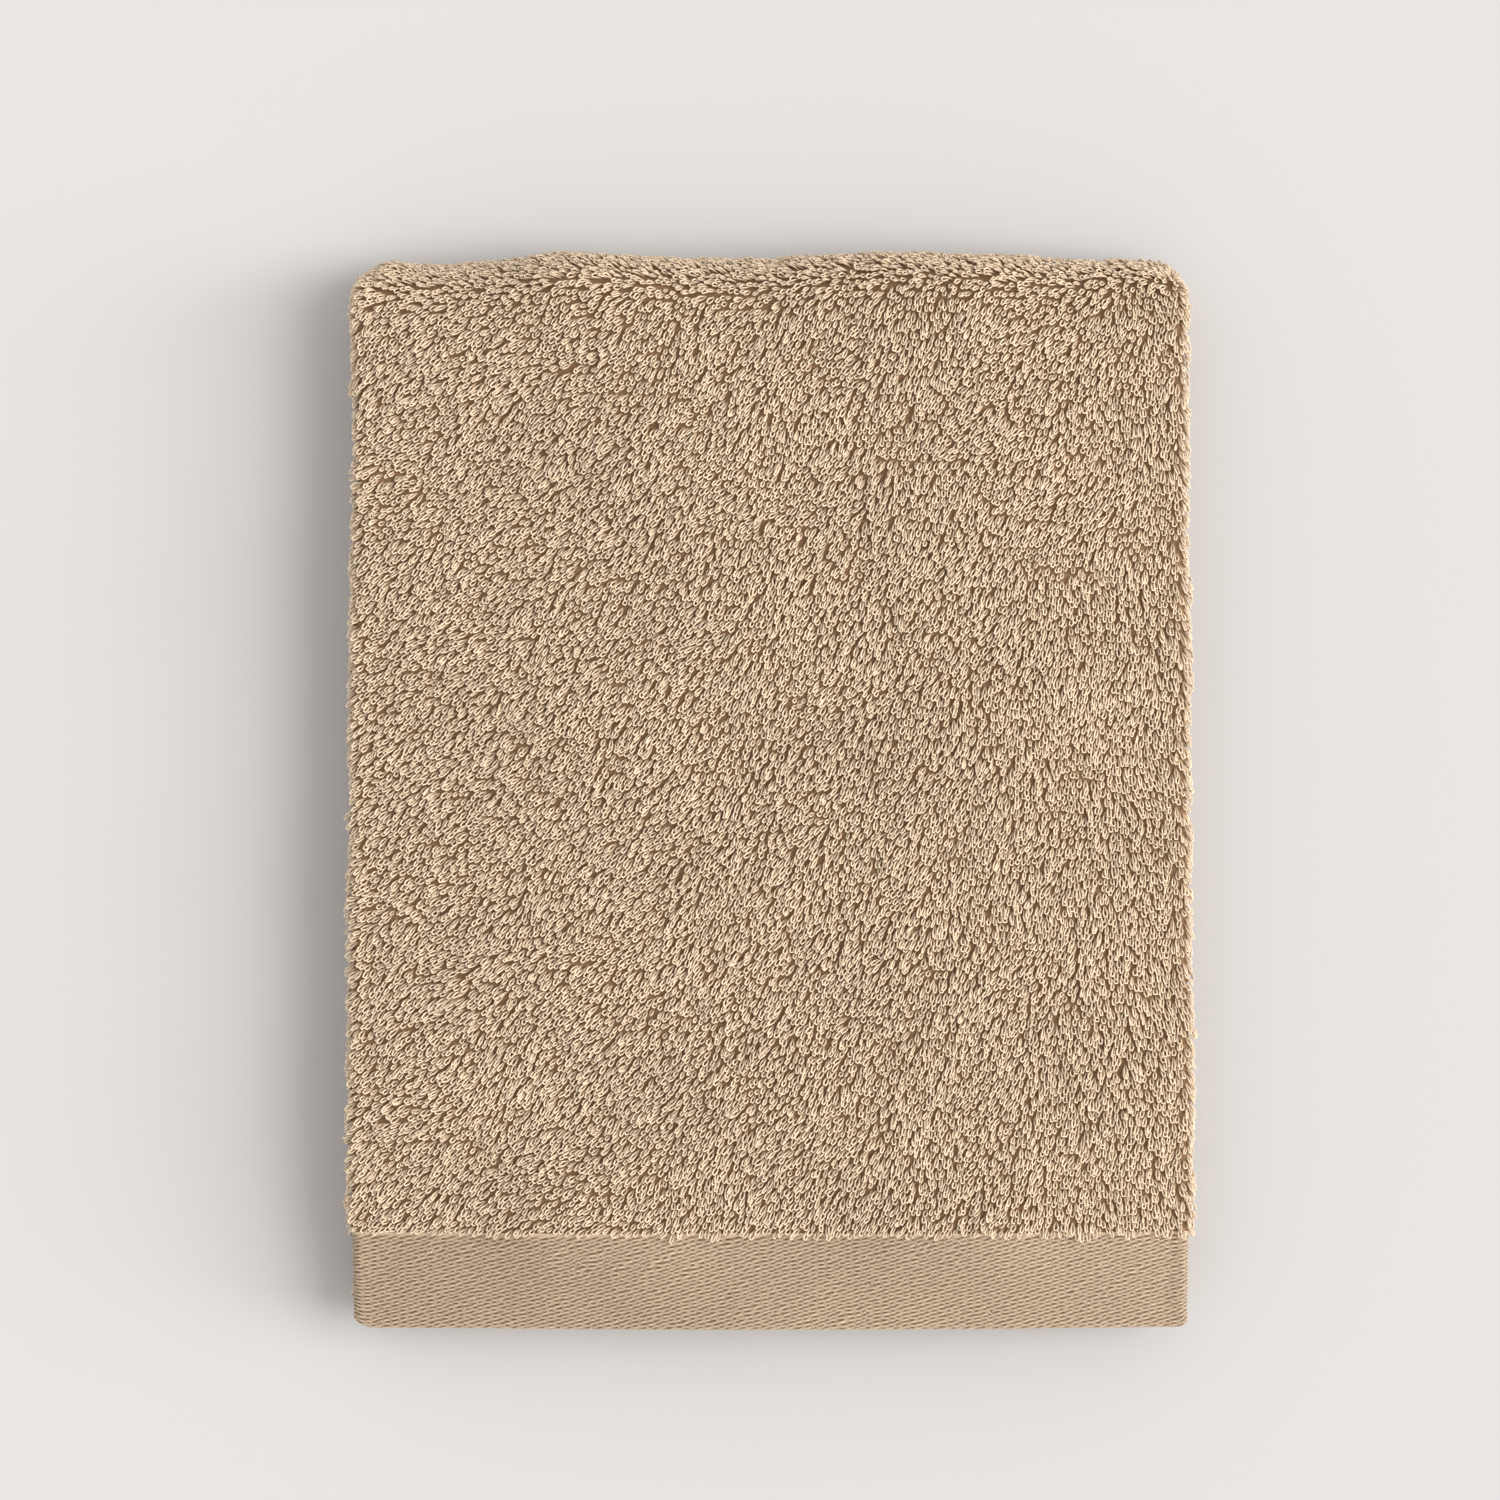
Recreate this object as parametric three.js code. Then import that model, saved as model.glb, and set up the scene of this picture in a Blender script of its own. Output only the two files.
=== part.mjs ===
// A terry bath towel, folded for a shelf. Millimetres, +Z up.
//
// The cloth is 700 x 1400. Both long sides are folded behind the middle panel, where they overlap, and
// the strip this makes is folded in half twice, front outwards, which gives four leaves. The first end's
// woven border lies on top at -Y, with the other end's border just under it. The outer end fold at +Y
// joins the top leaf to the bottom one round the inner end fold, which joins the two leaves between
// them, and the lower end fold at -Y joins the two bottom leaves. The cloth is one piece of weaving: its
// solids part where it turns.
//
// The origin is at the middle of the underside. X runs across the towel and Y along it.

import * as THREE from 'three';
import { mergeVertices } from 'three/addons/utils/BufferGeometryUtils.js';

// Driving dimensions
const WIDTH = 280; // folded width, over the pile
const LENGTH = 356; // folded length, from the hem to the outer end fold
const LEAF_MIDDLE = 10; // one leaf's height where three plies lie on each other
const LEAF_SIDE = 8.4; // and near the sides, where there are two
const FLAP_EDGE = 72; // how far past the middle each folded-in side reaches
const SETTLING_WIDTH = 60; // the distance over which three plies settle to two
const SETTLING_POWER = 1.6; // how late the leaves come down: 1 is a straight slope
const GAP = 0.3; // air between two plies
const SIDE_HEM_WIDTH = 8;
const SIDE_HEM_THICKNESS = 2.4;
const BORDER_DEPTH = 31; // the woven border, turned to the back and sewn under the last loops
const BORDER_THICKNESS = 1.8; // two layers of it
const BORDER_INSET = 2.6; // the pile stands this far out past the woven border
const BORDER_FOLD_RADIUS = 3;
const OUTER_BULGE = 18; // how far the outer end fold stands out past the flat part of the leaves
const INNER_BULGE = 8;
const LOWER_BULGE = 10;
const LOWER_SETBACK = 3; // the lower end fold stops short of the hem above it
const CORNER = 12; // corner radius of the end folds, seen from above
const CORNER_DEPTH = 0.65; // the share of a bulge that the corners take away

// How finely the curved surfaces are stepped
const SETTLING_STEPS = 8;
const CORNER_STEPS = 5;
const END_ARC_STEPS = 10;
const SIDE_ARC_STEPS = 8;
const SLOPE_STEPS = 4;

const halfWidth = WIDTH / 2;
const inset = GAP / 2;
const hemY = -LENGTH / 2;
const borderY = hemY + BORDER_DEPTH;
const foldY = LENGTH / 2 - OUTER_BULGE;
const lowerFoldY = hemY + LOWER_SETBACK + LOWER_BULGE;
const sideRadius = LEAF_SIDE / 2;
const sideX = halfWidth - sideRadius;
const borderSideX = halfWidth - BORDER_INSET - BORDER_FOLD_RADIUS;

const TERRY = { color: 0xb99d80, roughness: 0.95, metalness: 0 };
const BORDER = { color: 0xae937a, roughness: 0.8, metalness: 0 };
const HEM = { color: 0xa98f74, roughness: 0.85, metalness: 0 };

// The front of the strip looks up or down, and level counts the leaves below
const leaves = [
  { name: 'top', level: 3, up: true, endY: borderY, outermost: true },
  { name: 'second', level: 2, up: false, endY: borderY, outermost: false },
  { name: 'third', level: 1, up: true, endY: lowerFoldY, outermost: false },
  { name: 'bottom', level: 0, up: false, endY: lowerFoldY, outermost: true },
];
const borderedLeaves = leaves.filter((leaf) => leaf.endY === borderY);

const { clamp, lerp, smoothstep } = THREE.MathUtils;

// 0 over the three plies in the middle, 1 over the two plies at the sides
const settled = (x) => clamp((Math.abs(x) - FLAP_EDGE) / SETTLING_WIDTH, 0, 1);
const sideways = (x) => smoothstep(settled(x), 0, 1);
const leafHeight = (x) => lerp(LEAF_MIDDLE, LEAF_SIDE, settled(x) ** SETTLING_POWER);
const borderHeight = (x) => (BORDER_THICKNESS + GAP) * lerp(3, 2, sideways(x));

// A ply's two sides, as shares of its leaf's height counted from the front of the strip
const shares = {
  face: (x) => [0, lerp(1 / 3, 1 / 2, sideways(x))],
  left_flap: (x) => [lerp(1 / 3, 1 / 2, sideways(x)), x < 0 ? lerp(2 / 3, 1, sideways(x)) : 2 / 3],
  right_flap: (x) => [x > 0 ? lerp(2 / 3, 1 / 2, sideways(x)) : 2 / 3, 1],
};
const plies = Object.keys(shares);

// count + 1 values from low to high
const evenly = (low, high, count) =>
  Array.from({ length: count + 1 }, (_, i) => lerp(low, high, i / count));

// Places from low to high across the towel. All plies share those where the leaves settle, so that
// their straight stretches between them lie parallel.
const settling = evenly(FLAP_EDGE, FLAP_EDGE + SETTLING_WIDTH, SETTLING_STEPS);
function across(low, high) {
  const shared = [...settling.map((x) => -x).reverse(), ...settling];
  return [low, ...shared.filter((x) => x > low && x < high), high];
}

// How far each terry ply reaches across, and each flap's long hem
const terryReach = {
  face: [-sideX + inset, sideX - inset],
  left_flap: [-sideX + inset, FLAP_EDGE - SIDE_HEM_WIDTH - inset],
  right_flap: [-FLAP_EDGE + SIDE_HEM_WIDTH + inset, sideX - inset],
};
const sideHemReach = {
  left_flap: [FLAP_EDGE - SIDE_HEM_WIDTH + inset, FLAP_EDGE],
  right_flap: [-FLAP_EDGE, -FLAP_EDGE + SIDE_HEM_WIDTH - inset],
};
const borderReach = {
  face: [-borderSideX + inset, borderSideX - inset],
  left_flap: [-borderSideX + inset, FLAP_EDGE],
  right_flap: [-FLAP_EDGE, borderSideX - inset],
};

// The height of a share of a leaf
function heightAt(leaf, share, x) {
  const fromBelow = leaf.up ? 1 - share : share;
  return (leaf.level + fromBelow) * leafHeight(x);
}

// The height of a share of a leaf in its border, which comes down from the terry (v = 0) to the hem
// (v = 1), where the borders of the two upper leaves lie on the two lower leaves
function borderHeightAt(leaf, share, x, v) {
  const fromBelow = leaf.up ? 1 - share : share;
  const atHem = 2 * leafHeight(x) + (leaf.level - 2 + fromBelow) * borderHeight(x);
  return lerp(heightAt(leaf, share, x), atHem, smoothstep(v, 0, 1));
}

// A closed solid between two surfaces, each a function of u and v that gives a point
function between(first, second, uValues, vValues) {
  const gridOn = (surface) => vValues.flatMap((v) => uValues.flatMap((u) => surface(u, v)));
  const points = [...gridOn(first), ...gridOn(second)];
  const [uSteps, vSteps] = [uValues.length - 1, vValues.length - 1];
  const layer = uValues.length * vValues.length;
  const at = (i, j, k) => j * (uSteps + 1) + i + k * layer;
  const faces = [];
  const quad = (a, b, c, d) => faces.push(a, b, c, a, c, d);
  for (let j = 0; j < vSteps; j += 1) {
    for (let i = 0; i < uSteps; i += 1) {
      quad(at(i, j, 0), at(i + 1, j, 0), at(i + 1, j + 1, 0), at(i, j + 1, 0));
      quad(at(i, j, 1), at(i, j + 1, 1), at(i + 1, j + 1, 1), at(i + 1, j, 1));
    }
  }
  for (let i = 0; i < uSteps; i += 1) {
    quad(at(i, 0, 1), at(i + 1, 0, 1), at(i + 1, 0, 0), at(i, 0, 0));
    quad(at(i, vSteps, 0), at(i + 1, vSteps, 0), at(i + 1, vSteps, 1), at(i, vSteps, 1));
  }
  for (let j = 0; j < vSteps; j += 1) {
    quad(at(0, j, 0), at(0, j + 1, 0), at(0, j + 1, 1), at(0, j, 1));
    quad(at(uSteps, j, 1), at(uSteps, j + 1, 1), at(uSteps, j + 1, 0), at(uSteps, j, 0));
  }
  return solid(points, faces);
}

// The triangles point outwards: if they enclose a negative volume, every one is turned round
function solid(points, faces) {
  const corner = (k) => new THREE.Vector3().fromArray(points, 3 * k);
  let volume = 0;
  for (let k = 0; k < faces.length; k += 3) {
    volume += corner(faces[k]).dot(corner(faces[k + 1]).cross(corner(faces[k + 2])));
  }
  const geometry = new THREE.BufferGeometry();
  geometry.setAttribute('position', new THREE.Float32BufferAttribute(points, 3));
  geometry.setIndex(volume < 0 ? faces.toReversed() : faces);
  return mergeVertices(geometry);
}

// The two ends of a leaf's flat part
const along = (leaf) => [leaf.endY + inset, foldY - inset];

// A flat ply of a leaf, between its two shares of the leaf's height
function plyGeometry(leaf, ply) {
  const [low, high] = terryReach[ply];
  const inwards = leaf.up ? -inset : inset;
  const side = (which, offset) => (x, y) => [x, y, heightAt(leaf, shares[ply](x)[which], x) + offset];
  const front = ply === 'face' && leaf.outermost ? 0 : inwards;
  return between(side(0, front), side(1, -inwards), across(low, high), along(leaf));
}

// The turned long edge of the cloth, at the free edge of a flap
function sideHemGeometry(leaf, ply) {
  const side = (offset) => (x, y) => {
    const [front, back] = shares[ply](x);
    return [x, y, heightAt(leaf, (front + back) / 2, x) + offset];
  };
  const faces = [side(SIDE_HEM_THICKNESS / 2), side(-SIDE_HEM_THICKNESS / 2)];
  return between(...faces, sideHemReach[ply], along(leaf));
}

// The angles of half a turn
const halfTurn = (steps) => evenly(-Math.PI / 2, Math.PI / 2, steps);

// The fold that joins a leaf's face to a flap: half a ring, carried along the leaf
function sideFoldGeometry(leaf, side) {
  const middle = heightAt(leaf, 1 / 2, sideX);
  const arc = (radius) => (angle, y) => {
    return [side * (sideX + radius * Math.cos(angle)), y, middle + (radius - inset) * Math.sin(angle)];
  };
  return between(arc(sideRadius), arc(2 * inset), halfTurn(SIDE_ARC_STEPS), along(leaf));
}

// A ply of the woven border, sloping down from the terry to the hem
function borderGeometry(leaf, ply) {
  const [low, high] = borderReach[ply];
  const side = (offset) => (x, v) => {
    const [front, back] = shares[ply](x);
    return [x, lerp(borderY - inset, hemY, v), borderHeightAt(leaf, (front + back) / 2, x, v) + offset];
  };
  const faces = [side(BORDER_THICKNESS / 2), side(-BORDER_THICKNESS / 2)];
  return between(...faces, across(low, high), evenly(0, 1, SLOPE_STEPS));
}

// The border's side fold: half an oval ring that flattens towards the hem
function borderFoldGeometry(leaf, side) {
  const arc = (outwards) => (angle, v) => {
    const middle = borderHeightAt(leaf, 1 / 2, borderSideX, v);
    const spread = Math.abs(borderHeightAt(leaf, 1 / 4, borderSideX, v) - middle);
    const deep = BORDER_FOLD_RADIUS - (outwards ? 0 : BORDER_THICKNESS);
    const high = spread + (outwards ? 1 : -1) * (BORDER_THICKNESS / 2);
    const x = side * (borderSideX + deep * Math.cos(angle));
    return [x, lerp(borderY - inset, hemY, v), middle + high * Math.sin(angle)];
  };
  return between(arc(true), arc(false), halfTurn(SIDE_ARC_STEPS), evenly(0, 1, SLOPE_STEPS));
}

// An end fold: half an oval ring round a line across the towel, standing out towards end, 1 or -1. Each
// of its two surfaces says how far it stands out and how many leaves high it is, less an offset.
function endFoldGeometry({ centreY, end, middle, outer, inner }) {
  const surface = ({ bulge, leavesHigh, offset }) => (x, angle) => {
    const intoCorner = Math.max(0, Math.abs(x) - (halfWidth - CORNER)) / CORNER;
    const kept = 1 - CORNER_DEPTH * (1 - Math.sqrt(1 - intoCorner ** 2));
    const y = centreY + end * (inset + (bulge * kept - inset) * Math.cos(angle));
    return [x, y, middle * leafHeight(x) + (leavesHigh * leafHeight(x) + offset) * Math.sin(angle)];
  };
  const corner = evenly(0, Math.PI / 2, CORNER_STEPS).map((a) => halfWidth - CORNER + CORNER * Math.sin(a));
  const corners = [...corner.map((x) => -x).reverse(), ...corner];
  const places = across(corners.shift(), corners.pop());
  const stations = [...new Set([...places, ...corners])].sort((a, b) => a - b);
  return between(surface(outer), surface(inner), stations, halfTurn(END_ARC_STEPS));
}

const endFolds = {
  outer_end_fold: {
    centreY: foldY, end: 1, middle: 2,
    outer: { bulge: OUTER_BULGE, leavesHigh: 2, offset: 0 },
    inner: { bulge: INNER_BULGE + inset, leavesHigh: 1, offset: inset },
  },
  inner_end_fold: {
    centreY: foldY, end: 1, middle: 2,
    outer: { bulge: INNER_BULGE - inset, leavesHigh: 1, offset: -inset },
    inner: { bulge: GAP, leavesHigh: 0, offset: inset },
  },
  lower_end_fold: {
    centreY: lowerFoldY, end: -1, middle: 1,
    outer: { bulge: LOWER_BULGE, leavesHigh: 1, offset: -inset },
    inner: { bulge: GAP, leavesHigh: 0, offset: inset },
  },
};

function addPiece(group, name, geometry, look) {
  const mesh = new THREE.Mesh(geometry, new THREE.MeshStandardMaterial(look));
  mesh.name = name;
  group.add(mesh);
}

function buildTowel() {
  const towel = new THREE.Group();
  for (const leaf of leaves) {
    for (const ply of plies) addPiece(towel, `${leaf.name}_leaf_${ply}`, plyGeometry(leaf, ply), TERRY);
    addPiece(towel, `${leaf.name}_leaf_left_fold`, sideFoldGeometry(leaf, -1), TERRY);
    addPiece(towel, `${leaf.name}_leaf_right_fold`, sideFoldGeometry(leaf, 1), TERRY);
    addPiece(towel, `${leaf.name}_leaf_left_side_hem`, sideHemGeometry(leaf, 'left_flap'), HEM);
    addPiece(towel, `${leaf.name}_leaf_right_side_hem`, sideHemGeometry(leaf, 'right_flap'), HEM);
  }
  for (const leaf of borderedLeaves) {
    for (const ply of plies) addPiece(towel, `${leaf.name}_border_${ply}`, borderGeometry(leaf, ply), BORDER);
    addPiece(towel, `${leaf.name}_border_left_fold`, borderFoldGeometry(leaf, -1), BORDER);
    addPiece(towel, `${leaf.name}_border_right_fold`, borderFoldGeometry(leaf, 1), BORDER);
  }
  for (const [name, fold] of Object.entries(endFolds)) addPiece(towel, name, endFoldGeometry(fold), TERRY);
  return towel;
}

export default buildTowel();
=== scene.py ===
"""A folded terry bath towel: one cloth with its pile loops, woven borders, long hems and stitching.

The cloth is one sheet. place(u, s) says where each of its points lies in the folded stack: u runs across
the cloth from its middle, and s along it from the hem that shows. Every piece is made from that one map.
"""

import math

import bpy
import numpy as np
from bpy.props import FloatProperty, FloatVectorProperty, IntProperty, PointerProperty
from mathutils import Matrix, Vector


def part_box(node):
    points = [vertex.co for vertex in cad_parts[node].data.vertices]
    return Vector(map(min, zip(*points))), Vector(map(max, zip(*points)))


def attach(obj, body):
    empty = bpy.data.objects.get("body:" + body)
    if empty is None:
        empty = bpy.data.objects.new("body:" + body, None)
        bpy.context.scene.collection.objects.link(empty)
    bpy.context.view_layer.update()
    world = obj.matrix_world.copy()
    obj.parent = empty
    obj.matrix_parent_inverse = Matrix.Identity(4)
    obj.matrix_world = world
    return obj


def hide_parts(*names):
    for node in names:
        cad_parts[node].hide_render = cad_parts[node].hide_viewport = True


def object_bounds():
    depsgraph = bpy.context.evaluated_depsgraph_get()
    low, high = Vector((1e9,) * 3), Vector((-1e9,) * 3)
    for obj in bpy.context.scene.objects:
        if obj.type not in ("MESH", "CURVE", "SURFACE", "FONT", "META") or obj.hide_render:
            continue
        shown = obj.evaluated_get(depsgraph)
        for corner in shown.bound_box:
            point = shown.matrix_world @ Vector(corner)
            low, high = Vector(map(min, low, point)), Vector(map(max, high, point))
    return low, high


bl_info = {
    "name": "Folded terry towel",
    "version": (1, 0, 0),
    "blender": (4, 5, 0),
    "location": "3D View > Sidebar > Towel",
    "description": "Builds a folded bath towel with real pile loops round its packed frame",
    "category": "Object",
}

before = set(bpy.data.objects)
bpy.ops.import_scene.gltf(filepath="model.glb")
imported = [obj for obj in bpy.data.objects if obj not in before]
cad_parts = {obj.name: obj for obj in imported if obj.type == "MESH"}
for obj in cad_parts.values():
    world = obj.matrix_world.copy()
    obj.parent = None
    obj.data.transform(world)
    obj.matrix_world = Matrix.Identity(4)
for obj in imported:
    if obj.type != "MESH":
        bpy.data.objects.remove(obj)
CAD_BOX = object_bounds()
BODY = "root"
MM = 0.001


# ---------------------------------------------------------------- the folded stack, from the frame

def edge(node, corner, axis):
    """One coordinate of a frame node's box: corner 0 is the low one, 1 the high one."""
    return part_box(node)[corner]["xyz".index(axis)]


CLOTH_WIDTH, CLOTH_LENGTH = 0.7, 1.4
HALF_WIDTH = CAD_BOX[1][0]
HEM_Y = CAD_BOX[0][1]
BORDER_Y = edge("top_leaf_face", 0, "y")
FOLD_Y = edge("top_leaf_face", 1, "y")
LOWER_Y = edge("bottom_leaf_face", 0, "y")
BORDER_DEPTH = BORDER_Y - HEM_Y
LEAF_MIDDLE = edge("top_leaf_face", 1, "z") / 4
LEAF_SIDE = edge("bottom_leaf_left_fold", 1, "z") + 0.15 * MM
FLAP_EDGE = edge("top_leaf_left_side_hem", 1, "x")
SIDE_HEM = edge("top_leaf_left_side_hem", 1, "x") - edge("top_leaf_left_side_hem", 0, "x")

# How the stack settles: where its level middle ends, how far past the flaps' edges it has come down, how
# fast it falls on the way, how quickly three plies become two, and how much lower the right side lies.
CROWN_EDGE = 38 * MM
SETTLING = 60 * MM
CROWN_POWER = 1.5
FLAP_FALL = 26 * MM
RIGHT_FALL = 0.9 * MM

OUTER_BULGE = CAD_BOX[1][1] - FOLD_Y
INNER_BULGE = edge("inner_end_fold", 1, "y") - FOLD_Y
LOWER_BULGE = LOWER_Y - edge("lower_end_fold", 0, "y")
CORNER = 12 * MM
CORNER_DEPTH = 0.65
TURN_RADIUS = LEAF_SIDE / 4
SIDE_X = HALF_WIDTH - LEAF_SIDE / 2
FACE_REACH = SIDE_X + math.pi * TURN_RADIUS
BORDER_THICKNESS = edge("top_border_left_fold", 1, "x") - edge("top_border_left_fold", 0, "x") - 1.2 * MM
SIDE_HEM_THICKNESS = edge("top_leaf_left_side_hem", 1, "z") - edge("top_leaf_left_side_hem", 0, "z")
UNDER_LOOPS = 1.5 * MM
HEM_JOIN = 0.2 * MM
STITCH_INSET = 1.6 * MM
HEM_RIB, HEM_RIB_LENGTH = 0.06 * MM, 1.7 * MM

# How far the towel's outline strays from a rectangle, in shares of its half width where no unit is given:
# the far end is narrower, the lower leaves lie inside the top one, and the far corners draw in, the left
# one more.
FAR_NARROWER, NARROWING = 0.010, 300 * MM
LEAVES_INSIDE = 0.016
LEFT_CORNER_IN, RIGHT_CORNER_IN = 0.045, 0.028
LEFT_HEM_CORNER, RIGHT_HEM_CORNER = 8.6 * MM, 5 * MM
HEM_CORNER_DEPTH = 0.8
FLAPS_SET_BACK = 1.6 * MM
EDGE_WAVE, EDGE_WAVE_LENGTH = 0.0020, 120 * MM
END_WAVE, END_WAVE_LENGTH = 0.7 * MM, 110 * MM
END_WAVE_FROM, END_WAVE_OVER = 120 * MM, 50 * MM
TOP_WAVE, TOP_WAVE_LENGTH = 0.018, 85 * MM

# The brushing: its angle below the left, in degrees, at places across the towel, on its top and on its
# far fold, and where the one gives way to the other.
BRUSHED_AT = (-0.123, -0.057, 0.009, 0.075, 0.120, 0.138)
BRUSHED_ANGLE = (44, 50, 61, 68, 80, 90)
FOLD_BRUSHED_AT = (-0.14, 0.0, 0.03, 0.05, 0.14)
FOLD_BRUSHED_ANGLE = (14, 18, 70, 35, 40)
FOLD_BRUSHED_FROM, FOLD_BRUSHED_OVER = 164 * MM, 10 * MM
FLATTER_FAR_RIGHT = 18

# How uneven the loops are: how far one strays from its row and column, in shares of their spacing, how much
# its way and its roll differ from the next one's, how much its height and its reach do, and how much its
# tuft pulls it aside.
STRAY = 0.26
WAY_SPREAD, ROLL_SPREAD = 0.13, 0.35
TALL_SPREAD, REACH_SPREAD = 0.1, 0.14
TUFT_PULL = 0.06

# The most triangles that one piece of pile may have. A leg with more is parted into equal pieces.
MOST_TRIANGLES = 190000

# The twill's waves: repeats across, pairs of rows up, and share of the height. A wave climbs to the right,
# and to the left where its repeats are negative.
WEAVE_WAVES = ((1, 2, 1.4), (1, 1, 0.3), (-1, 2, 0.6), (2, 1, 0.3), (3, 2, 0.7))

KEY_WAY = (0.66, -0.02, 0.80)
KEY_SPREAD = math.radians(38)
KEY_TINT = (1.0, 0.99, 0.97)
SIDE_WAY = (0.95, -0.02, 0.34)
SIDE_SPREAD = math.radians(30)
FILL_TINT = (1.0, 0.99, 0.98, 1.0)

OUT, OUTER_FOLD, UNDER, LOWER_FOLD, BACK, INNER_FOLD, HOME = range(7)


def half_oval(a, b):
    """The length of half an oval's outline, by the usual root-mean-square estimate."""
    return math.pi * math.sqrt((a * a + b * b) / 2)


LEG_LENGTHS = np.array([
    FOLD_Y - HEM_Y,
    half_oval((OUTER_BULGE + INNER_BULGE) / 2, 1.5 * LEAF_MIDDLE),
    FOLD_Y - LOWER_Y,
    half_oval(LOWER_BULGE / 2, LEAF_MIDDLE / 2),
    FOLD_Y - LOWER_Y,
    half_oval(INNER_BULGE / 2, LEAF_MIDDLE / 2),
    FOLD_Y - HEM_Y,
])
LEG_LENGTHS *= CLOTH_LENGTH / LEG_LENGTHS.sum()
LEG_ENDS = np.cumsum(LEG_LENGTHS)
LEG_STARTS = LEG_ENDS - LEG_LENGTHS


# ---------------------------------------------------------------- small mathematics

def mix(a, b, t):
    return a + (b - a) * t


def smooth(t):
    """An S-curve from 0 to 1: three t squared less two t cubed, with t held between 0 and 1."""
    t = np.clip(t, 0, 1)
    return t * t * (3 - 2 * t)


def unit(v):
    return v / np.maximum(np.linalg.norm(v, axis=-1, keepdims=True), 1e-12)


def ripple(places, wavelength, seed):
    """Soft noise about 0 with a spread of 1: the sum of a dozen cosine waves in random directions, whose
    lengths lie round the wavelength."""
    rng = np.random.default_rng(seed)
    axes = places.shape[-1]
    ways = unit(rng.normal(size=(12, axes))) * rng.uniform(0.6, 1.4, (12, 1)) * 2 * math.pi / wavelength
    starts = rng.uniform(0, 2 * math.pi, 12)
    return np.cos(places @ ways.T + starts).sum(-1) / math.sqrt(6)


# ---------------------------------------------------------------- where the cloth lies

def settled(x):
    """0 over the three plies in the middle, 1 over the two plies near the sides."""
    return np.clip((np.abs(x) - FLAP_EDGE) / FLAP_FALL, 0, 1)


def crown(x):
    """0 over the level middle of the towel, rising as a power of the way out to 1 beside its side folds."""
    return np.clip((np.abs(x) - CROWN_EDGE) / (FLAP_EDGE + SETTLING - CROWN_EDGE), 0, 1) ** CROWN_POWER


def leaf_height(x):
    """Each leaf's height, which falls a little further to the right side than to the left."""
    return mix(LEAF_MIDDLE, LEAF_SIDE - RIGHT_FALL * (x > 0), crown(x))


def border_height(x):
    return (BORDER_THICKNESS + 0.3 * MM) * mix(3, 2, crown(x))


def across(u):
    """The strip's cross-section: x, and how far behind the strip's front the cloth lies, as a share of
    the leaf's height. The face is level, each side fold is half a turn of a circle, and the flap runs
    back behind the face, under it or under the other flap."""
    side, out = np.sign(u), np.abs(u)
    turn = np.clip((out - SIDE_X) / TURN_RADIUS, 0, math.pi)
    back = np.maximum(out - FACE_REACH, 0)
    x = side * (np.minimum(out, SIDE_X) + TURN_RADIUS * np.sin(turn) - back)
    rest = smooth(settled(x))
    face = mix(1 / 6, 1 / 4, rest)
    left = mix(1 / 2, np.where(x < 0, 3 / 4, 1 / 2), rest)
    right = mix(5 / 6, np.where(x > 0, 3 / 4, 5 / 6), rest)
    flap = np.where(side < 0, left, right)
    return x, mix(face, flap, (1 - np.cos(turn)) / 2)


def along(s, share, kept):
    """The strip's path: which leg s is on, y, and the height in leaves. Legs run level out and back, and
    the folds between them are half ovals, wider for cloth nearer the outside of the turn."""
    leg = np.clip(np.searchsorted(LEG_ENDS, s), 0, 6)
    t = np.clip((s - LEG_STARTS[leg]) / LEG_LENGTHS[leg], 0, 1)
    sine, cosine = np.sin(math.pi * t), np.cos(math.pi * t)
    y = np.choose(leg, [
        mix(HEM_Y, FOLD_Y, t),
        FOLD_Y + mix(OUTER_BULGE, INNER_BULGE, share) * kept * sine,
        mix(FOLD_Y, LOWER_Y, t),
        LOWER_Y - LOWER_BULGE * (1 - share) * kept * sine,
        mix(LOWER_Y, FOLD_Y, t),
        FOLD_Y + INNER_BULGE * share * kept * sine,
        mix(FOLD_Y, HEM_Y, t),
    ])
    leaves = np.choose(leg, [
        4 - share,
        2 + (2 - share) * cosine,
        share + 0 * t,
        1 - (1 - share) * cosine,
        2 - share,
        2 - share * cosine,
        2 + share,
    ])
    return leg, y, leaves


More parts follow.
